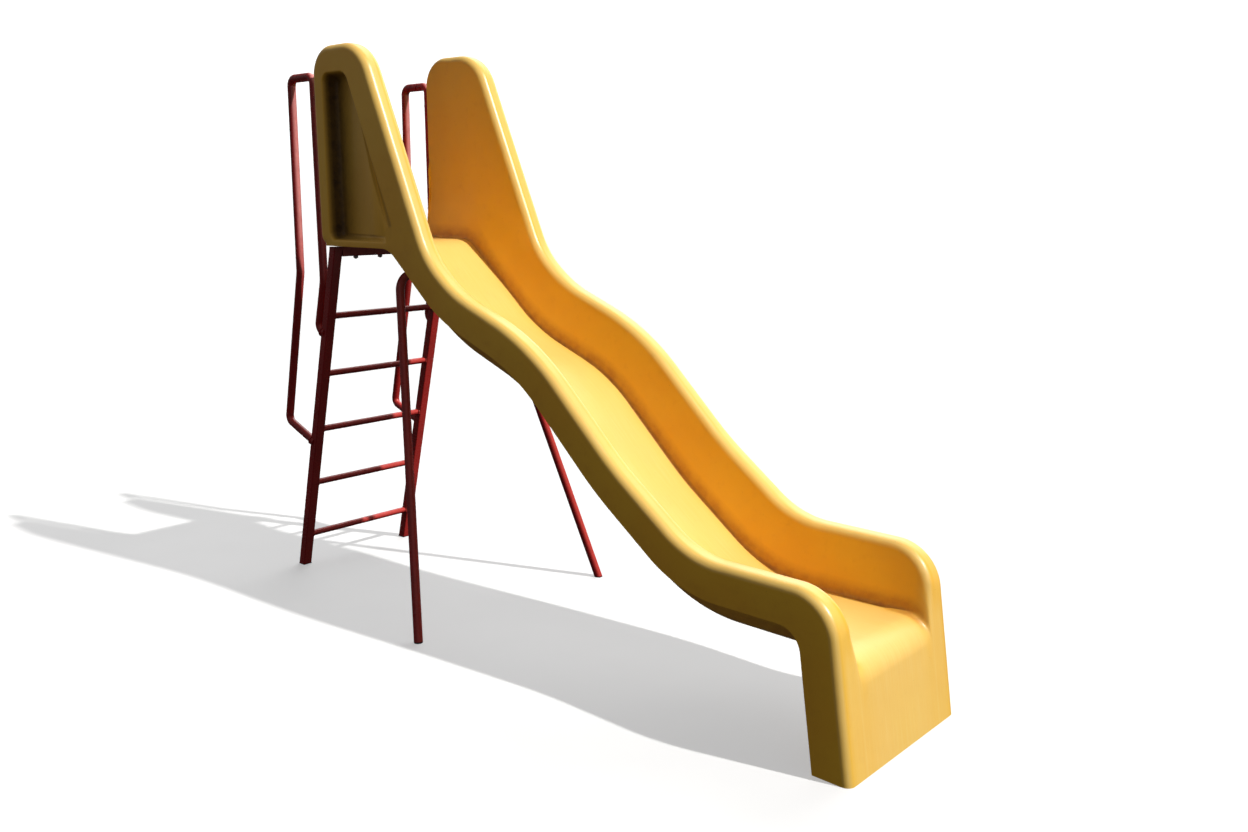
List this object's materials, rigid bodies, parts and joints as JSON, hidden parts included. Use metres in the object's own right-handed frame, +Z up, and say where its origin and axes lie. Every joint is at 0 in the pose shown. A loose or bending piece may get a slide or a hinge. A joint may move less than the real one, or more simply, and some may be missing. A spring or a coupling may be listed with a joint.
{
  "type": "wave slide",
  "caption": "Playground wave slide: a rippled glass-fibre chute with tall side wings at the platform, a steel ladder with hoop handrails and a splayed tube trestle.",
  "frame": {"origin": "on the ground under the middle of the whole slide's length and width", "axes": "+X downhill towards the exit, +Y across to the rider's left, +Z up"},
  "size_m": [2.9064, 1.0122, 2.207],
  "materials": {
    "gelcoat_moulding": "glossy yellow gelcoat on glass-fibre laminate",
    "plywood_core": "sealed plywood",
    "red_steel": "red enamel, weathered",
    "black_plug": "moulded plastic end plug",
    "galvanised_steel": "zinc-plated"
  },
  "bodies": {
    "root": {"chute_bed": "gelcoat_moulding", "side_rail_left": "gelcoat_moulding", "side_rail_right": "gelcoat_moulding", "deck_core": "plywood_core", "head_beam": "red_steel", "stringer_left": "red_steel", "stringer_right": "red_steel", "rung_1": "red_steel", "rung_2": "red_steel", "rung_3": "red_steel", "rung_4": "red_steel", "rung_5": "red_steel", "handrail_left": "red_steel", "handrail_right": "red_steel", "trestle": "red_steel", "stringer_head_caps": "red_steel", "stringer_foot_plugs": "black_plug", "trestle_foot_plugs": "black_plug", "handrail_sleeves": "galvanised_steel", "handrail_bolts": "galvanised_steel", "handrail_nuts": "galvanised_steel", "deck_bolts": "galvanised_steel", "deck_washers": "galvanised_steel", "deck_nuts": "galvanised_steel", "trestle_plate": "galvanised_steel", "trestle_saddles": "galvanised_steel", "saddle_bolts": "galvanised_steel", "exit_anchor": "galvanised_steel"}
  },
  "joints": []
}
